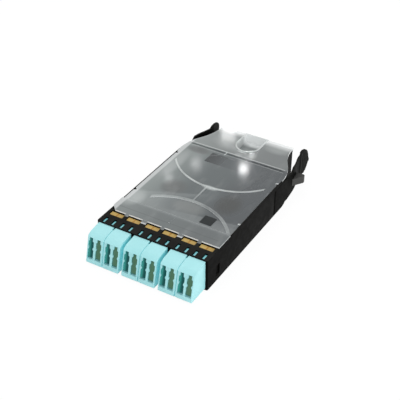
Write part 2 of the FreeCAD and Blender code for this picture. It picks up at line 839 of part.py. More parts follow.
def fibre_harness():
    """Twelve fibres from the inner plugs to the fan-out block."""
    start_y = inner_plug_start() + plug_length + boot_length - fibre_lead
    end_y = fanout_front + fibre_lead
    fibres = []
    for start_x, end_x in zip(port_places(), fibre_places()):
        path = fibre_path(start_x, start_y, end_x, end_y)
        ring = Part.makeCircle(fibre_radius, V(start_x, start_y, axis_z), V(0, 1, 0))
        fibre = path.makePipeShell([Part.Wire([ring])], True, False)
        fibres.append(fibre)
        length = path.Length
        section = math.pi * fibre_radius ** 2
        print("fibre length %.2f volume ratio %.4f" % (length, fibre.Volume / section / length))
    return Part.makeCompound(fibres)


def fanout_block():
    """The bridge across the tray with a comb that holds the fibres."""
    half = fanout_width / 2
    rear = fanout_front + fanout_depth
    top = cover_underside - fanout_top_gap
    plate = box(-half, half, fanout_front, rear, top - fanout_plate, top)
    legs = []
    for x in (-half, half - fanout_leg):
        legs.append(box(x, x + fanout_leg, fanout_front, rear, floor_thickness, top))
    comb_half = fanout_comb_width / 2
    comb = box(-comb_half, comb_half, fanout_front, rear, floor_thickness,
               axis_z + fanout_comb_height / 2)
    neck = box(-fanout_leg / 2, fanout_leg / 2, fanout_front, rear, axis_z, top)
    block = plate.fuse(legs + [comb, neck])
    holes = []
    for x in fibre_places():
        start = V(x, fanout_front - over, axis_z)
        holes.append(rod(fibre_radius, start, V(0, 1, 0), over + fibre_lead))
    holes.append(ribbon_bar(rear - fibre_lead, rear + over))
    return block.cut(holes).removeSplitter()


def ribbon_bar(y0, y1):
    """A stretch of the flat ribbon lead with rounded sides."""
    half = ribbon_width / 2
    height = ribbon_height / 2
    bar = box(-half, half, y0, y1, axis_z - height, axis_z + height)
    return bar.makeFillet(ribbon_round, [e for e in bar.Edges if e.BoundBox.YLength > lip])


def rear_adapter_start():
    """The Y of the rear adapter's inner end."""
    return tray_length + rear_adapter_stand - rear_adapter_length


def rear_axis_z():
    """The height of the rear adapter's middle."""
    return rear_adapter_bottom + rear_adapter_height / 2


def rear_plug_start():
    """The Y of the inner rear plug's free end."""
    return rear_adapter_start() + rear_adapter_length / 2 - rear_web / 2 - rear_plug_length


def ribbon_lead():
    """The short jacketed ribbon from the fan-out block to the inner rear plug."""
    rear = fanout_front + fanout_depth
    return ribbon_bar(rear - fibre_lead, rear_plug_start() + fibre_lead)


def rear_profile(gap, y0, y1):
    """The keyed mouth of the rear adapter, or the body that fills it, shrunk by a gap."""
    half = rear_port_width / 2 - gap
    low = rear_axis_z() - rear_port_height / 2 + gap
    high = rear_axis_z() + rear_port_height / 2 - gap
    body = box(-half, half, y0, y1, low, high)
    key_half = rear_key_width / 2 - gap
    return body.fuse(box(-key_half, key_half, y0, y1, high - lip, high + rear_key_height))


def rear_adapter():
    """The multi-fibre adapter in the rear wall, with a web where the two plugs meet."""
    half = rear_adapter_width / 2
    start = rear_adapter_start()
    end = start + rear_adapter_length
    top = rear_adapter_bottom + rear_adapter_height
    body = box(-half, half, start, end, rear_adapter_bottom, top)
    flange_half = rear_flange_width / 2
    flange = box(-flange_half, flange_half, tray_length, tray_length + rear_flange_thickness,
                 rear_adapter_bottom - rear_flange_rise, top + rear_flange_rise)
    web = start + rear_adapter_length / 2
    cuts = [rear_profile(0, start - over, web - rear_web / 2)]
    cuts.append(rear_profile(0, web + rear_web / 2, end + over))
    ferrule_half = rear_ferrule_width / 2 + rear_plug_gap
    ferrule_rise = rear_ferrule_height / 2 + rear_plug_gap
    cuts.append(box(-ferrule_half, ferrule_half, web - rear_web, web + rear_web,
                    rear_axis_z() - ferrule_rise, rear_axis_z() + ferrule_rise))
    return body.fuse(flange).cut(cuts).removeSplitter()


def inner_rear_plug():
    """The multi-fibre plug inside the rear adapter, with its ferrule and grip."""
    end = rear_adapter_start() + rear_adapter_length / 2 - rear_web / 2 - rear_plug_gap
    start = rear_plug_start()
    body = rear_profile(rear_plug_gap, start, end)
    grip_end = rear_adapter_start() - rear_plug_gap
    grips = []
    step = (grip_end - start) / (2 * rear_grip_count)
    for number in range(rear_grip_count):
        y = start + (2 * number + 1 / 2) * step
        rib = box(-rear_port_width / 2 - rear_web, rear_port_width / 2 + rear_web, y, y + step,
                  rear_axis_z() - rear_port_height / 2, rear_axis_z() + rear_port_height / 2)
        grips.append(rib)
    half = rear_ferrule_width / 2
    rise = rear_ferrule_height / 2
    ferrule = box(-half, half, end - lip, end + rear_web, rear_axis_z() - rise, rear_axis_z() + rise)
    plug = body.fuse(grips + [ferrule])
    return plug.cut(ribbon_bar(start - over, start + fibre_lead)).removeSplitter()


def lever_plan():
    """The right lever's blade in plan: along the side wall, then curving inwards."""
    low = floor_thickness + lever_floor_gap
    outer = half_width
    inner = half_width - lever_thickness
    root = lever_pivot_y
    end = lever_bend_end
    outer_arcs = tangent_pair((outer, lever_bend_start, low), (outer - lever_bend_inset, end, low))
    inner_arcs = tangent_pair((inner, lever_bend_start, low), (inner - lever_bend_inset, end, low))
    edges = [line(V(outer, root, low), V(outer, lever_bend_start, low))] + outer_arcs
    edges += [line(V(outer - lever_bend_inset, end, low), V(inner - lever_bend_inset, end, low))]
    edges += inner_arcs + [line(V(inner, lever_bend_start, low), V(inner, root, low))]
    edges += [line(V(inner, root, low), V(outer, root, low))]
    return outline_face(edges).extrude(V(0, 0, tray_height + leaf_crown_rise - low))


def pad_outer_arc(z):
    """The outer face of the right finger pad in plan, from its root to its widest point."""
    root_x = half_width - lever_bend_inset
    middle_y = (pad_root_y + pad_tip_y) / 2
    return Part.Arc(V(root_x, pad_root_y, z), V(root_x + pad_hollow, middle_y, z),
                    V(root_x + pad_bulge, pad_tip_y - pad_tip_length, z))


def pad_plan():
    """The right lever's finger pad in plan: swelling outwards to a round tip."""
    low = floor_thickness + lever_floor_gap
    inner = half_width - lever_bend_inset - lever_thickness
    outer = pad_outer_arc(low)
    root = outer.value(outer.FirstParameter)
    shoulder = outer.value(outer.LastParameter)
    tip = V(inner + lever_thickness, pad_tip_y, low)
    bow = V((shoulder.x + tip.x) / 2 + pad_tip_round, pad_tip_y - pad_tip_round, low)
    heel = V(inner, pad_tip_y - pad_tip_length, low)
    back = V(inner, pad_root_y + pad_tip_length, low)
    edges = [outer.toShape(), Part.Arc(shoulder, bow, tip).toShape(), line(tip, heel),
             line(heel, back), line(back, root)]
    return outline_face(edges).extrude(V(0, 0, tray_height + leaf_crown_rise - low))


def pad_ribs():
    """Upright round ribs spread along the finger pad's outer face."""
    low = floor_thickness + lever_floor_gap
    outer = pad_outer_arc(low)
    span = outer.LastParameter - outer.FirstParameter
    ribs = []
    for number in range(pad_rib_count):
        share = (number + 1) / pad_rib_count
        foot = outer.value(outer.FirstParameter + span * share)
        ribs.append(rod(pad_rib_radius, foot, V(0, 0, 1), tray_height + leaf_crown_rise - low))
    return ribs


def leaf_edges(x, neck, top):
    """The finger pad's leaf in side view, from the neck below round the tip to its top edge."""
    root = V(x, pad_root_y + leaf_root_run, leaf_root_bottom)
    heel = V(x, pad_tip_y - leaf_heel_back, leaf_heel_bottom)
    low_bow = V(x, pad_tip_y - leaf_low_bow_back, leaf_low_bow_height)
    tip = V(x, pad_tip_y, leaf_tip_height)
    high_bow = V(x, pad_tip_y - leaf_high_bow_back, leaf_high_bow_height)
    crown = V(x, pad_tip_y - leaf_crown_back, tray_height + leaf_crown_rise)
    shoulder_bow = V(x, pad_tip_y - leaf_shoulder_bow_back, tray_height + leaf_shoulder_bow_rise)
    shoulder = V(x, pad_tip_y - leaf_shoulder_back, top)
    stops = (neck, root, heel, low_bow, tip, high_bow, crown, shoulder_bow, shoulder)
    bends = zip(stops[::2], stops[1::2], stops[2::2])
    return [Part.Arc(start, bow, end).toShape() for start, bow, end in bends]


def lever_side():
    """The right lever in side view: low arm, step up, neck and leaf-shaped pad."""
    low = floor_thickness + lever_floor_gap
    top = tray_height - lever_top_drop
    start = lever_pivot_y - 2 * knuckle_radius
    x0 = half_width / 2
    slope_start = V(x0, neck_slope_start, low)
    slope_end = V(x0, neck_slope_end, neck_slope_bottom)
    neck = V(x0, pad_root_y, neck_bottom)
    edges = [line(V(x0, start, low), slope_start), line(slope_start, slope_end), line(slope_end, neck)]
    edges += leaf_edges(x0, neck, top)
    edges += [line(V(x0, pad_tip_y - leaf_shoulder_back, top), V(x0, lever_rise_end, top)),
              line(V(x0, lever_rise_end, top), V(x0, lever_rise_start, lever_arm_top)),
              line(V(x0, lever_rise_start, lever_arm_top), V(x0, start, lever_arm_top)),
              line(V(x0, start, lever_arm_top), V(x0, start, low))]
    return outline_face(edges).extrude(V(half_width, 0, 0))


def right_lever():
    """The right lever with its knuckle, curved blade and ribbed finger pad."""
    low = floor_thickness + lever_floor_gap
    height = lever_arm_top - low
    axis = V(hinge_axis_x(), lever_pivot_y, low)
    plan = lever_plan().fuse([pad_plan()] + pad_ribs())
    lever = plan.common(lever_side())
    lever = lever.fuse(rod(knuckle_radius, axis, V(0, 0, 1), height))
    bore_start = axis - V(0, 0, over)
    bore = rod(hinge_pin_radius + pin_clearance, bore_start, V(0, 0, 1), height + 2 * over)
    return lever.cut(bore).removeSplitter()


def right_catch():
    """The grey wedge on the right lever: a ramp in front, a flat stop behind."""
    outer = half_width + catch_reach
    inner = half_width - lever_bend_inset
    points = [(half_width - lip, catch_start), (outer, catch_crest - catch_bevel),
              (outer, catch_end - catch_bevel), (outer - catch_bevel, catch_end), (inner, catch_end),
              (inner, catch_start)]
    wedge = plan_prism(points, catch_bottom, catch_top)
    solids = wedge.cut(lever_plan()).Solids
    return max(solids, key=lambda solid: solid.CenterOfMass.x)


def hinge_pin():
    """The right lever's pin, from the floor into the roof of its pocket."""
    return rod(hinge_pin_radius, V(hinge_axis_x(), lever_pivot_y, 0), V(0, 0, 1), hinge_pin_top())


def label(centre):
    """A port marker on its adapter's shank, with a fine groove between its two halves."""
    bottom = shank_top
    top = bottom + label_thickness
    marker = label_box(centre, bottom, top)
    half = label_split / 2
    groove = box(centre - half, centre + half, label_start - over, label_start + label_depth + over,
                 top - label_split_depth, top + over)
    return marker.cut(groove)


def plain_pad():
    """The small plain dark square on the cover."""
    half = pad_size / 2
    return box(pad_x - half, pad_x + half, pad_y - half, pad_y + half, cover_top,
               cover_top + pad_thickness)


def save(shape, node):
    """Move one node to the origin, write its STEP file and say what it holds."""
    placed = shape.translated(V(0, -tray_length / 2, 0))
    placed.exportStep("parts/" + node + ".step")
    print("%-20s solids %d valid %s volume %.1f" % (node, len(placed.Solids), placed.isValid(),
                                                   placed.Volume))


def main():
    """Build and save every node."""
    save(base_tray(), "base_tray")
    save(clear_cover(), "clear_cover")
    ports = port_places()
    for number, centre in enumerate(adapter_centres(), 1):
        partner_side = 1 if number % adapters_in_group else -1
        save(adapter(centre, partner_side), "adapter_%d" % number)
        pair = (centre - port_pitch / 2, centre + port_pitch / 2)
        save(Part.makeCompound([sleeve(x) for x in pair]), "sleeve_pair_%d" % number)
        save(Part.makeCompound([inner_plug(x) for x in pair]), "inner_plugs_%d" % number)
        save(label(centre), "label_%d" % number)
    for number, x in enumerate(ports, 1):
        save(shutter(x), "shutter_%02d" % number)
    save(plain_pad(), "plain_pad")
    save(fibre_harness(), "fibre_harness")
    save(fanout_block(), "fanout_block")
    save(ribbon_lead(), "ribbon_lead")
    save(rear_adapter(), "rear_adapter")
    save(inner_rear_plug(), "inner_rear_plug")
    for side, piece in (("lever", right_lever()), ("catch", right_catch()), ("hinge_pin", hinge_pin())):
        save(piece, "right_" + side)
        save(mirrored(piece), "left_" + side)


main()
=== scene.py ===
import json
import math

import bpy
import numpy as np
from mathutils import Matrix, Vector

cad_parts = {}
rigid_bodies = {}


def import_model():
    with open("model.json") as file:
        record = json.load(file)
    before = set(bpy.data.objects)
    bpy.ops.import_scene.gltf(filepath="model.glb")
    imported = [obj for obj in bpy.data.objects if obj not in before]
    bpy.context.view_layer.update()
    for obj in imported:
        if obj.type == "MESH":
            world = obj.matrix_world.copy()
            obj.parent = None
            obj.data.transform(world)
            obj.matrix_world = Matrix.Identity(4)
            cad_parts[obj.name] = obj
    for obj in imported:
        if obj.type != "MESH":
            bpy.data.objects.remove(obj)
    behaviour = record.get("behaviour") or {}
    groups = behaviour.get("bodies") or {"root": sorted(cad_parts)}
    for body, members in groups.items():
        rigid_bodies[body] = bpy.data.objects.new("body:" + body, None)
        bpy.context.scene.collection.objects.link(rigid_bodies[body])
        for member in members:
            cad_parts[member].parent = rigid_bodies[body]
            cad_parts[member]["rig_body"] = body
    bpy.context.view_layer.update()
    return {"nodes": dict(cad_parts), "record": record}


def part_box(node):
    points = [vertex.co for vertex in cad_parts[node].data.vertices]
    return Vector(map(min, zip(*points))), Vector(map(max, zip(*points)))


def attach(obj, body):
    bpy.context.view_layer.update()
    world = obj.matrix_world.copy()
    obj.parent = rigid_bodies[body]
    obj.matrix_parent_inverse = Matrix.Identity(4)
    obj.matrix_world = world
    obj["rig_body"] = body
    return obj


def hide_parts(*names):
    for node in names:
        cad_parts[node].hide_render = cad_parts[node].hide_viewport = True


# Looks of a fibre cassette: moulded black tray, hazy smoke-clear cover, aqua duplex adapters.
# Lengths are in metres in the part's own frame: X across the ports, Y to the rear, Z up.
# A span is the pair of places or values between which something begins and is full.

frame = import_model()

MM = 0.001
white = (1.0, 1.0, 1.0)

# Camera, set where the photograph was taken from
camera_place = Vector((0.2792, -0.49173, 0.41319))
camera_forward = Vector((-0.409736, 0.704822, -0.579087))
camera_roll_deg = 0.475
camera_lens = 84.287
sensor_width = 36.0
nearest_seen = 0.01
farthest_seen = 50.0

# Stage
floor_half = 3.0
floor_drop = 0.0003
floor_grey = (0.8, 0.8, 0.8)
floor_roughness = 0.9
floor_strength = 1.03
floor_whiteness = 0.92
world_strength = 0.6
white_seen = 1.0

# Large soft lamps: name, place, size and power
softboxes = (("key_softbox", Vector((-0.25, 0.25, 1.0)), 0.6, 3.2),
             ("fill_softbox", Vector((0.95, 0.0, 0.35)), 0.6, 4.1),
             ("front_softbox", Vector((0.35, -1.0, 0.4)), 0.6, 2.6))
softbox_aim = Vector((0.0, 0.0, 0.01))

# Small lamps mirrored in the glossy cover: the place of their reflection, their size and brightness
sparks = (((-0.023, 0.149), 0.025, 9.0), ((0.006, 0.133), 0.006, 40.0), ((0.0120, 0.1095), 0.0135, 33.0),
          ((-0.022, 0.097), 0.018, 5.0), ((-0.030, 0.071), 0.014, 5.0))
spark_distance = 1.0

# Places on the tray and the cover, taken from the nodes' own boxes
tray_low, tray_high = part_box("base_tray")
tray_front = tray_low.y
cover_top = tray_high.z
groove_y = tray_front + 0.121
fanout_low, fanout_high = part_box("fanout_block")

# The cover's haze: its tones from left to right, the front step's, and the streaks'. The paler left and the paler
# front step are painted reflection, and the darker right is painted shade. The grey middle and the random streaks
# are the haze's own.
haze_left_painted_reflection = (0.285, 0.32, 0.313)
haze_middle = (0.13, 0.15, 0.154)
haze_right_painted_shade = (0.08, 0.088, 0.096)
left_to_middle = (-0.044, -0.005)
middle_to_right = (0.0, 0.028)
right_share = 0.75
front_step_painted_reflection = (0.21, 0.23, 0.23)
front_reflection_span = (tray_front + 0.046, tray_front + 0.03)
front_reflection_share = 0.5
streak_tone = (0.42, 0.44, 0.44)
streak_scale = 90.0
streak_detail = 3.0
streak_stretch = (1.0, 0.35, 1.0)
streak_span = (0.5, 0.85)
streak_share = 0.3

# Paler and darker patches of the haze, from the tray's front: centre, reach and lightness. The paler ones are
# painted highlights and the darker ones painted shade.
painted_light_patches = (((-0.038, 0.036), (0.010, 0.014), 0.44), ((0.002, 0.046), (0.016, 0.010), 0.22),
                ((-0.037, 0.090), (0.008, 0.024), 0.42), ((-0.001, 0.153), (0.006, 0.005), 0.95),
                ((0.025, 0.062), (0.012, 0.016), 0.075), ((-0.012, 0.137), (0.020, 0.012), 0.40),
                ((0.022, 0.147), (0.014, 0.009), 0.37), ((-0.0005, 0.1295), (0.0045, 0.0018), 0.8),
                ((0.0066, 0.1325), (0.0014, 0.0035), 0.8), ((-0.0005, 0.1245), (0.004, 0.003), 0.36),
                ((0.004, 0.139), (0.008, 0.008), 0.36), ((0.003, 0.0745), (0.008, 0.003), 0.5),
                ((-0.020, 0.062), (0.012, 0.012), 0.15), ((-0.030, 0.115), (0.012, 0.006), 0.16),
                ((-0.0095, 0.121), (0.0008, 0.0035), 0.75), ((-0.0015, 0.116), (0.004, 0.0006), 0.7))
patch_tint = (0.93, 1.0, 0.99)

# The paler rear of the cover, its almost white rear edge and the pale strip at its left: painted reflection on the
# rear and its edge, and a painted highlight strip at the left
rear_painted_reflection = (0.31, 0.33, 0.325)
rear_reflection_span = (groove_y, groove_y + 0.004)
rear_reflection_share = 0.5
rear_edge_painted_reflection = (0.86, 0.88, 0.88)
rear_edge_span = (tray_front + 0.146, tray_front + 0.154)
left_strip_painted_highlight = (0.74, 0.76, 0.76)
left_strip_span = (-0.0395, -0.0408)
left_strip_share = 0.7

# The dark bar as it shows in the haze
bar_low = Vector((fanout_low.x + 0.8 * MM, fanout_low.y - 1.6 * MM))
bar_high = Vector((fanout_high.x + 0.6 * MM, fanout_high.y - 2.0 * MM))
bar_soft = 0.6 * MM
bar_left_tone = (0.033, 0.037, 0.04)
bar_right_tone = (0.105, 0.118, 0.124)
bar_share = 0.85

# Lines across the cover, at the groove and the front: place, half width, strength and tone. The dark ones are
# painted shade in the groove and across the raised front, and the pale ones are painted highlights on either side
# of the groove.
painted_line_rows = ((groove_y, 0.5 * MM, 0.6, (0.08, 0.09, 0.09)),
                   (groove_y + 2.2 * MM, 0.35 * MM, 0.7, (0.6, 0.62, 0.62)),
                   (groove_y - 1.8 * MM, 0.2 * MM, 0.4, (0.5, 0.52, 0.52)),
                   (tray_front + 21.5 * MM, 0.2 * MM, 0.35, (0.09, 0.1, 0.1)))
line_soft = 0.3 * MM
line_end_span = (0.041, 0.0395)

# Painted highlights on the cover's ridges: where they rise, how they break up and how they brighten to the rear
ridge_rise_span = (cover_top + 0.05 * MM, cover_top + 0.4 * MM)
behind_step_span = (tray_front + 0.031, tray_front + 0.034)
ridge_break_scale = 55.0
ridge_break_span = (0.35, 0.65)
ridge_break_shares = (0.5, 1.0)
ridge_rear_span = (tray_front + 0.056, tray_front + 0.072)
ridge_rear_shares = (0.33, 1.0)
ridge_painted_highlight = (0.66, 0.70, 0.69)

# Painted highlight and painted glow on the cover's upright walls: by how upright a wall is, and how much each
# place calms it
upright_span = (0.95, 0.4)
facing_right_span = (0.5, 0.9)
right_side_span = (groove_y - 5.0 * MM, groove_y - 8.0 * MM)
groove_half = 1.5 * MM
well_half = 11.5 * MM
well_front = tray_front + 0.129
well_rise = 0.5 * MM
place_soft = 0.3 * MM
ridge_calm = 0.75
groove_calm = 1.0
well_calm = 0.7
right_side_calm = 0.75
edge_painted_highlight = (0.85, 0.87, 0.87)
edge_share = 0.9
edge_painted_glow_colour = (0.96, 1.0, 1.0)
edge_painted_glow = 0.3

# The cover's plastic
cover_roughness = 0.07
cover_index = 1.5
cover_alpha = 0.82
ripple_scale = 45.0
ripple_strength = 0.08
ripple_depth = 0.12 * MM

# Moulded plastic: the drift of its colour, its uneven roughness and its grain
drift_scale = 60.0
drift_detail = 3.0
drift_span = (0.35, 0.65)
roughness_scale = 240.0
roughness_span = (0.3, 0.7)
roughness_change = 0.05
grain_scale = 1400.0
grain_depth = 0.02 * MM
grain_strength = 0.3

# Plain mouldings: slot, name, colour, the tone it drifts to, roughness and gloss
plain_finishes = (("catch_grey", "catch_grey", (0.052, 0.052, 0.05), (0.04, 0.04, 0.038), 0.5, 0.2),
                  ("pad_grey", "pad_grey", (0.03, 0.034, 0.035), (0.024, 0.027, 0.028), 0.6, 0.12),
                  ("ceramic", "white_ceramic", (0.86, 0.86, 0.84), (0.82, 0.82, 0.8), 0.15, 0.5),
                  ("plug", "ivory_plug", (0.74, 0.73, 0.64), (0.68, 0.67, 0.58), 0.35, 0.4),
                  ("fibre", "coated_fibre", (0.36, 0.72, 0.76), (0.3, 0.66, 0.7), 0.35, 0.4))

# Satin pieces with one tone at the left and another at the right
satin_roughness = 0.5
satin_gloss = 0.1

# Shutters: slot, name, colour and drift, left tone, right tone, and the span across in which they change. The
# paler left tone is painted light and the darker right tone painted shade, as they fall in the port.
shutter_rows = (("teal", "teal_shutter", ((0.022, 0.2, 0.18), (0.016, 0.15, 0.14)), (0.07, 0.41, 0.36),
                 (0.002, 0.05, 0.05), (0.14, 0.58)),
                ("olive", "olive_shutter", ((0.095, 0.2, 0.13), (0.076, 0.165, 0.105)), (0.09, 0.22, 0.17),
                 (0.08, 0.183, 0.11), (0.1, 0.4)))
shutter_share = 0.75

# Heights between which a port shows its shutter, and the painted shade at each: where it is full, where it begins,
# its tone
shutter_low = 4.4 * MM
shutter_top = 20.9 * MM
shutter_end_shades = ((shutter_top, shutter_top - 2.0 * MM, (0.008, 0.075, 0.08)),
                (shutter_low, shutter_low + 2.5 * MM, (0.03, 0.18, 0.18)))
shutter_shade_share = 0.85

# Amber port markers, with a seam across the middle
amber_drift = ((0.53, 0.36, 0.12), (0.45, 0.29, 0.08))
amber_left = (0.56, 0.4, 0.14)
amber_right = (0.5, 0.34, 0.115)
amber_span = (0.2, 0.8)
amber_share = 0.6
seam_tone = (0.42, 0.2, 0.04)
seam_middle = 0.5
seam_half = 0.03
seam_soft = 0.05
seam_share = 0.7

# Aqua adapters, and a painted glow on their inner walls and below the strip's slots, standing in for light through
# the plastic
aqua = (0.40, 0.77, 0.80)
aqua_dark = (0.375, 0.745, 0.775)
aqua_roughness = 0.38
aqua_gloss = 0.25
aqua_grain_scale = 900.0
aqua_grain_depth = 0.01 * MM
facing_span = (0.8, 0.95)
outer_adapter_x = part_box("adapter_6")[1].x
inner_wall_span = (outer_adapter_x - 0.2 * MM, outer_adapter_x - 0.6 * MM)
below_strip_span = (tray_front, tray_front + 0.4 * MM)
wall_painted_glow = 0.07
slot_painted_glow = 0.13
aqua_painted_glow_colour = (0.02, 0.86, 1.0)

# Black of the upward faces, of the other faces and of the finger pads
top_black = (0.019, 0.019, 0.0175)
top_black_dark = 0.75
side_black = (0.0042, 0.0042, 0.0038)
pad_black = (0.02, 0.02, 0.019)
black_roughness = 0.5
black_gloss = 0.015
facing_up_span = (0.3, 0.9)
pad_black_length = 3.5 * MM

# Turned steel of the hinge pins
steel_grey = (0.6, 0.6, 0.6)
turning_scale = 500.0
turning_stretch = (1.0, 1.0, 8.0)
turning_span = (0.3, 0.7)
steel_roughness_span = (0.25, 0.4)

# The levers' finger pads: their CAD sizes, and the bow, drop and lift that make each a thin leaf
pad_root_y = tray_front + 0.1475
pad_wide_y = tray_front + 0.1575
pad_tip_y = tray_front + 0.1603
pad_inner_x = 36.7 * MM
arm_thickness = 1.4 * MM
pad_swell = 3.0 * MM
pad_dip = 0.765
leaf_bow = {"left_lever": 0.0, "right_lever": 4.1 * MM}
leaf_bow_start = tray_front + 0.126
leaf_bow_power = 1.3
leaf_drop = 1.8 * MM
leaf_drop_from = 12.0 * MM
leaf_drop_full = 4.0 * MM
leaf_lift = 3.6 * MM
leaf_lift_from = 16.5 * MM
leaf_lift_full = 25.0 * MM

# The slope that takes the adapters' tops down to their noses
slope_low = 20.9 * MM
slope_start = tray_front - 0.5 * MM
slope_end = tray_front - 13.0 * MM
slope_fall = 0.5

# Softened edges of the moulded pieces: widths by node, and how a copy is merged and rounded
adapter_count = 6
shutter_count = 12
adapter_edge = 0.25 * MM
small_edge = 0.1 * MM
edge_widths = {"base_tray": 0.25 * MM, "clear_cover": 0.3 * MM, "rear_adapter": small_edge,
               "left_lever": 0.3 * MM, "right_lever": 0.3 * MM, "left_catch": 0.3 * MM,
               "right_catch": 0.3 * MM, "plain_pad": small_edge}
edge_segments = 2
weld_gap = 0.002 * MM
flat_angle = math.radians(0.5)
edge_angle = math.radians(30)
crease_angle = math.radians(14)


def new_finish(name):
    """A material, its node tree and its Principled shader."""
    material = bpy.data.materials.new(name)
    material.use_nodes = True
    tree = material.node_tree
    return material, tree, tree.nodes["Principled BSDF"]


def add(tree, kind, **settings):
    """A node of a kind with its own settings."""
    made = tree.nodes.new(kind)
    for key, value in settings.items():
        setattr(made, key, value)
    return made


def object_place(tree):
    """The place on the piece, in the part's frame."""
    return add(tree, "ShaderNodeTexCoord").outputs["Object"]


def split(tree, vector):
    """The X, Y and Z of a vector."""
    axes = add(tree, "ShaderNodeSeparateXYZ")
    tree.links.new(vector, axes.inputs["Vector"])
    return axes.outputs["X"], axes.outputs["Y"], axes.outputs["Z"]


def normal_axes(tree):
    """The X, Y and Z of the surface's own normal."""
    return split(tree, add(tree, "ShaderNodeTexCoord").outputs["Normal"])


def noise(tree, vector, scale, detail=2.0, stretch=(1.0, 1.0, 1.0)):
    """Soft noise in the piece's own coordinates, stretched along the axes: returns a value about 0.5."""
    mapping = add(tree, "ShaderNodeMapping")
    mapping.inputs["Scale"].default_value = stretch
    texture = add(tree, "ShaderNodeTexNoise")
    texture.inputs["Scale"].default_value = scale
    texture.inputs["Detail"].default_value = detail
    tree.links.new(vector, mapping.inputs["Vector"])
    tree.links.new(mapping.outputs["Vector"], texture.inputs["Vector"])
    return texture.outputs["Fac"]


def math_node(tree, operation, *values):
    """One arithmetic step on sockets or numbers."""
    made = add(tree, "ShaderNodeMath", operation=operation)
    for number, value in enumerate(values):
        if isinstance(value, (int, float)):
            made.inputs[number].default_value = value
        else:
            tree.links.new(value, made.inputs[number])
    return made.outputs["Value"]


def times(tree, first, *others):
    """The product of sockets or numbers."""
    for other in others:
        first = math_node(tree, "MULTIPLY", first, other)
    return first


def smooth_step(tree, value, low, high, start=0.0, end=1.0):
    """Rises smoothly from start to end while value goes from low to high."""
    made = add(tree, "ShaderNodeMapRange", interpolation_type="SMOOTHSTEP")
    tree.links.new(value, made.inputs["Value"])
    made.inputs["From Min"].default_value = low
    made.inputs["From Max"].default_value = high
    made.inputs["To Min"].default_value = start
    made.inputs["To Max"].default_value = end
    return made.outputs["Result"]


def blend_colour(tree, factor, first, second):
    """Goes from the first colour to the second as factor goes from 0 to 1."""
    made = add(tree, "ShaderNodeMix", data_type="RGBA")
    for name, value in (("Factor", factor), ("A", first), ("B", second)):
        socket = next(s for s in made.inputs if s.name == name and s.enabled)
        if isinstance(value, (int, float)):
            socket.default_value = value
        elif isinstance(value, tuple):
            socket.default_value = (*value, 1.0)
        else:
            tree.links.new(value, socket)
    return next(s for s in made.outputs if s.enabled)


def bump(tree, shader, height, strength, distance):
    """Lifts the surface's normal by a height pattern."""
    made = add(tree, "ShaderNodeBump")
    made.inputs["Strength"].default_value = strength
    made.inputs["Distance"].default_value = distance
    tree.links.new(height, made.inputs["Height"])
    tree.links.new(made.outputs["Normal"], shader.inputs["Normal"])


def moulded_finish(name, colour, dark, roughness, gloss, grain=grain_scale, depth=grain_depth):
    """Moulded plastic: a colour that drifts softly to a darker one, a fine grain and uneven roughness."""
    material, tree, shader = new_finish(name)
    place = object_place(tree)
    drift = smooth_step(tree, noise(tree, place, drift_scale, drift_detail), *drift_span)
    tree.links.new(blend_colour(tree, drift, dark, colour), shader.inputs["Base Color"])
    uneven = smooth_step(tree, noise(tree, place, roughness_scale), *roughness_span,
                         roughness - roughness_change, roughness + roughness_change)
    tree.links.new(uneven, shader.inputs["Roughness"])
    shader.inputs["Specular IOR Level"].default_value = gloss
    bump(tree, shader, noise(tree, place, grain), grain_strength, depth)
    return material


def base_colour(material):
    """A made material's node tree, its base colour's socket and what feeds that."""
    tree = material.node_tree
    socket = tree.nodes["Principled BSDF"].inputs["Base Color"]
    return tree, socket, socket.links[0].from_socket


def band(tree, value, middle, half, soft):
    """1 within half of the middle, falling to 0 over a soft edge."""
    away = math_node(tree, "ABSOLUTE", math_node(tree, "SUBTRACT", value, middle))
    return smooth_step(tree, away, half, half + soft, 1.0, 0.0)


def patch(tree, x, y, centre, reach):
    """1 at the centre, falling smoothly to 0 on the ellipse whose half lengths are the reach."""
    dx = math_node(tree, "DIVIDE", math_node(tree, "SUBTRACT", x, centre[0]), reach[0])
    dy = math_node(tree, "DIVIDE", math_node(tree, "SUBTRACT", y, centre[1] + tray_front), reach[1])
    squares = math_node(tree, "ADD", times(tree, dx, dx), times(tree, dy, dy))
    return smooth_step(tree, squares, 1.0, 0.0)


def haze_with_painted_light(tree, place, x, y):
    """The plate's grey haze with painted light: painted reflection pales it to the left and at the front step, and
    painted shade darkens it to the right. Painted highlight and shade patches and random streaks lie over it.
    """
    # painted reflection paling the left, painted shade darkening the right
    colour = blend_colour(tree, smooth_step(tree, x, *left_to_middle), haze_left_painted_reflection, haze_middle)
    colour = blend_colour(tree, smooth_step(tree, x, *middle_to_right, 0.0, right_share), colour, haze_right_painted_shade)
    # painted reflection paling the front step
    front = times(tree, smooth_step(tree, y, *front_reflection_span), front_reflection_share)
    colour = blend_colour(tree, front, colour, front_step_painted_reflection)
    # painted highlight and painted shade patches
    for centre, reach, pale in painted_light_patches:
        tone = tuple(part * pale for part in patch_tint)
        colour = blend_colour(tree, patch(tree, x, y, centre, reach), colour, tone)
    streaks = noise(tree, place, streak_scale, streak_detail, streak_stretch)
    return blend_colour(tree, smooth_step(tree, streaks, *streak_span, 0.0, streak_share), colour, streak_tone)


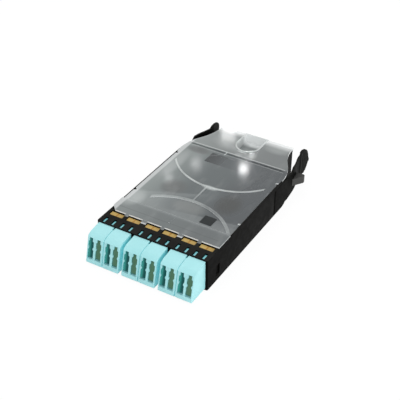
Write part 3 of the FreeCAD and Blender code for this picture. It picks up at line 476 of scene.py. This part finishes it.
def cover_lines(tree, x, y, colour):
    """Lines and bands in the haze: the painted reflection of the pale rear and its edge, the bar below, the
    painted shade and highlight lines at the groove and the front, and the painted highlight strip at the left.
    """
    # painted reflection paling the rear and whitening its rear edge
    back = smooth_step(tree, y, *rear_reflection_span, 0.0, rear_reflection_share)
    colour = blend_colour(tree, back, colour, rear_painted_reflection)
    colour = blend_colour(tree, smooth_step(tree, y, *rear_edge_span), colour, rear_edge_painted_reflection)
    middle = (bar_low + bar_high) / 2
    half = (bar_high - bar_low) / 2
    bar = times(tree, band(tree, x, middle.x, half.x, bar_soft), band(tree, y, middle.y, half.y, bar_soft))
    bar_tone = blend_colour(tree, smooth_step(tree, x, bar_low.x, middle.x), bar_left_tone, bar_right_tone)
    colour = blend_colour(tree, times(tree, bar, bar_share), colour, bar_tone)
    # painted shade and painted highlight lines
    for place_y, half_width, strength, tone in painted_line_rows:
        line = times(tree, band(tree, y, place_y, half_width, line_soft), strength,
                     smooth_step(tree, x, *line_end_span))
        colour = blend_colour(tree, line, colour, tone)
    # painted highlight strip at the left
    left_strip = smooth_step(tree, x, *left_strip_span, 0.0, left_strip_share)
    return blend_colour(tree, left_strip, colour, left_strip_painted_highlight)


def edge_highlight_mask(tree, x, y, ridge):
    """Where the painted highlight and glow go: 1 on the plate's upright walls, and less on the ridges, the right
    side, in the groove and the well.
    """
    facing_x, _, facing_z = normal_axes(tree)
    edge = smooth_step(tree, math_node(tree, "ABSOLUTE", facing_z), *upright_span)
    right_side = times(tree, smooth_step(tree, facing_x, *facing_right_span),
                       smooth_step(tree, y, *right_side_span))
    groove = band(tree, y, groove_y, groove_half, place_soft)
    well = times(tree, band(tree, x, 0.0, well_half, place_soft),
                 smooth_step(tree, y, well_front, well_front + well_rise))
    for calm, strength in ((ridge, ridge_calm), (groove, groove_calm), (well, well_calm),
                           (right_side, right_side_calm)):
        edge = times(tree, edge, math_node(tree, "SUBTRACT", 1.0, times(tree, calm, strength)))
    return edge


def smoky_clear():
    """Hazy smoke-clear plastic with painted light in its colour, painted highlights on its edges and ridges, and a
    painted glow on its edges.
    """
    material, tree, shader = new_finish("smoky_clear")
    place = object_place(tree)
    x, y, z = split(tree, place)
    colour = cover_lines(tree, x, y, haze_with_painted_light(tree, place, x, y))
    # painted highlight on the ridges, broken up and brighter to the rear
    ridge = times(tree, smooth_step(tree, z, *ridge_rise_span), smooth_step(tree, y, *behind_step_span))
    broken = smooth_step(tree, noise(tree, place, ridge_break_scale), *ridge_break_span, *ridge_break_shares)
    rear_more = smooth_step(tree, y, *ridge_rear_span, *ridge_rear_shares)
    colour = blend_colour(tree, times(tree, ridge, broken, rear_more), colour, ridge_painted_highlight)
    # painted highlight and painted glow on the upright walls
    edge = edge_highlight_mask(tree, x, y, ridge)
    colour = blend_colour(tree, times(tree, edge, edge_share), colour, edge_painted_highlight)
    tree.links.new(colour, shader.inputs["Base Color"])
    tree.links.new(times(tree, edge, edge_painted_glow), shader.inputs["Emission Strength"])
    shader.inputs["Emission Color"].default_value = (*edge_painted_glow_colour, 1.0)
    shader.inputs["Roughness"].default_value = cover_roughness
    shader.inputs["IOR"].default_value = cover_index
    shader.inputs["Alpha"].default_value = cover_alpha
    bump(tree, shader, noise(tree, place, ripple_scale), ripple_strength, ripple_depth)
    return material


def two_tone(name, drift_colours, left, right, change_span, share):
    """Satin plastic with one colour at the piece's left and another at its right, over a soft drift."""
    material = moulded_finish(name, *drift_colours, satin_roughness, satin_gloss)
    tree, socket, drift = base_colour(material)
    spread = add(tree, "ShaderNodeAttribute", attribute_name="across").outputs["Fac"]
    sides = blend_colour(tree, smooth_step(tree, spread, *change_span), left, right)
    tree.links.new(blend_colour(tree, share, drift, sides), socket)
    return material


def shutter_finish(name, drift_colours, left, right, change_span):
    """A shutter's two tones, a paler left and a darker right that are painted light and shade in the port, with
    painted shade at its upper and lower ends.
    """
    # paler left and darker right: painted light and shade
    material = two_tone(name, drift_colours, left, right, change_span, shutter_share)
    tree, socket, colour = base_colour(material)
    height = split(tree, object_place(tree))[2]
    # painted shade at the shutter's upper and lower ends
    for edge, inside, tone in shutter_end_shades:
        dark = smooth_step(tree, height, inside, edge, 0.0, shutter_shade_share)
        colour = blend_colour(tree, dark, colour, tone)
    tree.links.new(colour, socket)
    return material


def amber_marker():
    """Satin amber with a darker seam across the middle."""
    material = two_tone("amber_marker", amber_drift, amber_left, amber_right, amber_span, amber_share)
    tree, socket, colour = base_colour(material)
    spread = add(tree, "ShaderNodeAttribute", attribute_name="across").outputs["Fac"]
    seam = times(tree, band(tree, spread, seam_middle, seam_half, seam_soft), seam_share)
    tree.links.new(blend_colour(tree, seam, colour, seam_tone), socket)
    return material


def aqua_plastic():
    """Semi-gloss aqua with a painted glow of deeper aqua on its inner walls and below the strip's slots, standing
    in for light through the plastic.
    """
    material = moulded_finish("aqua_plastic", aqua, aqua_dark, aqua_roughness, aqua_gloss, aqua_grain_scale,
                              aqua_grain_depth)
    tree = material.node_tree
    shader = tree.nodes["Principled BSDF"]
    facing_x, _, facing_z = normal_axes(tree)
    x, y, _ = split(tree, object_place(tree))
    # painted glow on the inner side walls and on the tops below the slots
    sideways = smooth_step(tree, math_node(tree, "ABSOLUTE", facing_x), *facing_span)
    within = smooth_step(tree, math_node(tree, "ABSOLUTE", x), *inner_wall_span)
    below_slots = times(tree, smooth_step(tree, facing_z, *facing_span), smooth_step(tree, y, *below_strip_span))
    painted_glow = math_node(tree, "ADD", times(tree, sideways, within, wall_painted_glow), times(tree, below_slots, slot_painted_glow))
    tree.links.new(painted_glow, shader.inputs["Emission Strength"])
    shader.inputs["Emission Color"].default_value = (*aqua_painted_glow_colour, 1.0)
    return material


def moulded_black():
    """Moulded black whose upward faces and finger pads are a little paler than its other faces."""
    dark = tuple(top_black_dark * part for part in top_black)
    material = moulded_finish("moulded_black", top_black, dark, black_roughness, black_gloss)
    tree, socket, drift = base_colour(material)
    facing_up = normal_axes(tree)[2]
    along = split(tree, object_place(tree))[1]
    pad = smooth_step(tree, along, pad_root_y, pad_root_y + pad_black_length)
    side = blend_colour(tree, pad, side_black, pad_black)
    top = smooth_step(tree, facing_up, *facing_up_span)
    tree.links.new(blend_colour(tree, top, side, drift), socket)
    return material


def turned_pin():
    """Plain steel with fine turned lines round the pin."""
    material, tree, shader = new_finish("plain_steel")
    lines = noise(tree, object_place(tree), turning_scale, stretch=turning_stretch)
    rough = smooth_step(tree, lines, *turning_span, *steel_roughness_span)
    tree.links.new(rough, shader.inputs["Roughness"])
    shader.inputs["Base Color"].default_value = (*steel_grey, 1.0)
    shader.inputs["Metallic"].default_value = 1.0
    return material


def finishes():
    """Every material, by the record's slot name."""
    made = {"black": moulded_black(), "aqua": aqua_plastic()}
    for slot, name, drift_colours, left, right, change_span in shutter_rows:
        made[slot] = shutter_finish(name, drift_colours, left, right, change_span)
    made["amber"] = amber_marker()
    for slot, name, colour, dark, roughness, gloss in plain_finishes:
        made[slot] = moulded_finish(name, colour, dark, roughness, gloss)
    made["steel"] = turned_pin()
    made["smoky_clear"] = smoky_clear()
    return made


def read_points(mesh):
    """The mesh's points as arrays of X, Y and Z."""
    points = np.empty(len(mesh.vertices) * 3)
    mesh.vertices.foreach_get("co", points)
    return points.reshape(-1, 3).T


def write_points(mesh, x, y, z):
    """Puts arrays of X, Y and Z back as the mesh's points."""
    mesh.vertices.foreach_set("co", np.column_stack((x, y, z)).ravel())


def add_across(mesh):
    """Stores how far across the piece each point lies: 0 at its lowest X and 1 at its highest."""
    x = read_points(mesh)[0]
    spread = mesh.attributes.new("across", "FLOAT", "POINT")
    spread.data.foreach_set("value", (x - x.min()) / (x.max() - x.min()))


def pad_outer_x(y):
    """The CAD pad's outer face: it dips and swells from the root to the widest place, then rounds off.

    The swell is a share of the square of the way to the widest place, less a smaller share of that way.
    From there to the tip it shrinks as the height of a quarter of an ellipse does.
    """
    along = np.clip((y - pad_root_y) / (pad_wide_y - pad_root_y), 0.0, 1.0)
    end = np.clip((y - pad_wide_y) / (pad_tip_y - pad_wide_y), 0.0, 1.0)
    swell = pad_swell * ((1.0 + pad_dip) * along ** 2 - pad_dip * along)
    return pad_inner_x + arm_thickness + swell * np.sqrt(1.0 - end ** 2)


def slope_top(mesh):
    """Slopes an adapter's top: its height above the ports shrinks by a share that grows towards the nose."""
    x, y, z = read_points(mesh)
    way = np.clip((slope_start - y) / (slope_start - slope_end), 0.0, 1.0)
    sloped = slope_low + (z - slope_low) * (1.0 - slope_fall * way)
    write_points(mesh, x, y, np.where(z > slope_low, sloped, z))


def shape_leaf(mesh, bow):
    """Makes the finger pad a thin leaf: behind its root, the depth into it is scaled to the arm's thickness.

    The arm's rear part then bows outwards by a power of the way to the tip. The leaf's upper part rises by
    the square of the way from its root to its tip, and its lower part drops in step with that way.
    """
    x, y, z = read_points(mesh)
    way = np.clip((y - pad_root_y) / (pad_tip_y - pad_root_y), 0.0, 1.0)
    share = (np.abs(x) - pad_inner_x) / (pad_outer_x(y) - pad_inner_x)
    thinned = np.where(way > 0, pad_inner_x + arm_thickness * share, np.abs(x))
    turn = np.clip((y - leaf_bow_start) / (pad_tip_y - leaf_bow_start), 0.0, 1.0)
    bowed = thinned + bow * turn ** leaf_bow_power
    upper = np.clip((z - leaf_lift_from) / (leaf_lift_full - leaf_lift_from), 0.0, 1.0)
    lower = np.clip((leaf_drop_from - z) / (leaf_drop_from - leaf_drop_full), 0.0, 1.0)
    grown = z + leaf_lift * way ** 2 * upper - leaf_drop * way * lower
    write_points(mesh, np.sign(x) * bowed, y, grown)


def softened(node, body, material, width):
    """The node's own shape with its sharp edges rounded: a merged copy of its mesh with a bevel."""
    mesh = frame["nodes"][node].data.copy()
    if node in leaf_bow:
        shape_leaf(mesh, leaf_bow[node])
    elif node.startswith("adapter"):
        slope_top(mesh)
    mesh.materials.clear()
    mesh.materials.append(material)
    piece = bpy.data.objects.new(node + "_soft", mesh)
    bpy.context.scene.collection.objects.link(piece)
    weld = piece.modifiers.new("weld", "WELD")
    weld.merge_threshold = weld_gap
    flat = piece.modifiers.new("flat", "DECIMATE")
    flat.decimate_type = "DISSOLVE"
    flat.angle_limit = flat_angle
    rounding = piece.modifiers.new("rounding", "BEVEL")
    rounding.width = width
    rounding.segments = edge_segments
    rounding.limit_method = "ANGLE"
    rounding.angle_limit = edge_angle
    rounding.use_clamp_overlap = True
    whole = piece.evaluated_get(bpy.context.evaluated_depsgraph_get())
    finished = bpy.data.meshes.new_from_object(whole)
    piece.modifiers.clear()
    piece.data = finished
    finished.polygons.foreach_set("use_smooth", np.ones(len(finished.polygons), bool))
    finished.set_sharp_from_angle(angle=crease_angle)
    add_across(finished)
    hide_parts(node)
    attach(piece, body)


def dress_nodes(made):
    """Gives every node its finish, and the moulded ones a copy with softened edges."""
    widths = dict(edge_widths)
    for number in range(1, adapter_count + 1):
        widths["adapter_%d" % number] = adapter_edge
        widths["label_%d" % number] = small_edge
    for number in range(1, shutter_count + 1):
        widths["shutter_%02d" % number] = small_edge
    slots = {row["node"]: row["material_slot"] for row in frame["record"]["subparts"]}
    for node, piece in frame["nodes"].items():
        slot = slots[node]
        piece.data.materials.clear()
        piece.data.materials.append(made[slot])
        if node in widths:
            softened(node, piece["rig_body"], made[slot], widths[node])


def seen_white(tree, kind, strength):
    """Where the camera, a gloss or a clear piece looks straight at the surface, and the white seen there."""
    path = add(tree, "ShaderNodeLightPath")
    seen = math_node(tree, "MAXIMUM", path.outputs["Is Camera Ray"], path.outputs["Is Glossy Ray"])
    seen = math_node(tree, "MAXIMUM", seen, path.outputs["Is Transmission Ray"])
    shown = add(tree, kind)
    shown.inputs["Strength"].default_value = strength
    shown.inputs["Color"].default_value = (*white, 1.0)
    return seen, shown


def show_white(tree, factor, lit, shown, output):
    """Shows the lit surface, and the white in its place by the factor."""
    mixed = add(tree, "ShaderNodeMixShader")
    tree.links.new(factor, mixed.inputs["Fac"])
    tree.links.new(lit, mixed.inputs[1])
    tree.links.new(shown, mixed.inputs[2])
    tree.links.new(mixed.outputs["Shader"], output)


def floor():
    """A pale floor that looks white and keeps a soft shadow under the cassette."""
    corners = np.array([(-1, -1, 0), (1, -1, 0), (1, 1, 0), (-1, 1, 0)], float) * floor_half
    corners[:, 2] = tray_low.z - floor_drop
    mesh = bpy.data.meshes.new("floor")
    mesh.from_pydata(corners.tolist(), [], [(0, 1, 2, 3)])
    ground = bpy.data.objects.new("floor", mesh)
    bpy.context.scene.collection.objects.link(ground)
    material, tree, shader = new_finish("pale_floor")
    shader.inputs["Base Color"].default_value = (*floor_grey, 1.0)
    shader.inputs["Roughness"].default_value = floor_roughness
    shader.inputs["Specular IOR Level"].default_value = 0.0
    seen, shown = seen_white(tree, "ShaderNodeEmission", floor_strength)
    show_white(tree, times(tree, seen, floor_whiteness), shader.outputs["BSDF"], shown.outputs["Emission"],
               tree.nodes["Material Output"].inputs["Surface"])
    mesh.materials.append(material)


def world():
    """An even pale surround that looks plain white behind the cassette."""
    made = bpy.data.worlds.new("pale_surround")
    made.use_nodes = True
    bpy.context.scene.world = made
    tree = made.node_tree
    soft = tree.nodes["Background"]
    soft.inputs["Color"].default_value = (*white, 1.0)
    soft.inputs["Strength"].default_value = world_strength
    seen, shown = seen_white(tree, "ShaderNodeBackground", white_seen)
    show_white(tree, seen, soft.outputs["Background"], shown.outputs["Background"],
               tree.nodes["World Output"].inputs["Surface"])


def softbox(name, place, size, power, aim=softbox_aim):
    """A square soft lamp turned towards the cassette."""
    lamp = bpy.data.lights.new(name, "AREA")
    lamp.shape = "SQUARE"
    lamp.size = size
    lamp.energy = power
    made = bpy.data.objects.new(name, lamp)
    made.location = place
    made.rotation_mode = "QUATERNION"
    made.rotation_quaternion = (aim - place).to_track_quat("-Z", "Y")
    bpy.context.scene.collection.objects.link(made)


def spark(number, reflected_at, size, radiance):
    """A small lamp that the flat cover mirrors to the camera at a place on its top.

    Its power is its brightness times pi times the square of its size.
    """
    at = Vector((reflected_at[0], tray_front + reflected_at[1], cover_top))
    seen_along = (at - camera_place).normalized()
    mirrored = Vector((seen_along.x, seen_along.y, -seen_along.z))
    power = radiance * math.pi * size ** 2
    softbox("spark_%d" % number, at + mirrored * spark_distance, size, power, at)


def camera():
    """The camera at the photograph's place, looking along its fitted direction."""
    data = bpy.data.cameras.new("camera")
    data.sensor_width = sensor_width
    data.lens = camera_lens
    data.clip_start = nearest_seen
    data.clip_end = farthest_seen
    made = bpy.data.objects.new("camera", data)
    right = camera_forward.cross(Vector((0.0, 0.0, 1.0))).normalized()
    turn = Matrix.Rotation(math.radians(camera_roll_deg), 3, -camera_forward)
    right = turn @ right
    up = right.cross(camera_forward).normalized()
    basis = Matrix((right, up, -camera_forward)).transposed()
    made.matrix_world = Matrix.Translation(camera_place) @ basis.to_4x4()
    bpy.context.scene.collection.objects.link(made)
    bpy.context.scene.camera = made


def main():
    """Dresses the cassette and sets the stage round it."""
    dress_nodes(finishes())
    floor()
    world()
    for name, place, size, power in softboxes:
        softbox(name, place, size, power)
    for number, (reflected_at, size, radiance) in enumerate(sparks, 1):
        spark(number, reflected_at, size, radiance)
    camera()
    bpy.context.scene.view_settings.view_transform = "Standard"


main()
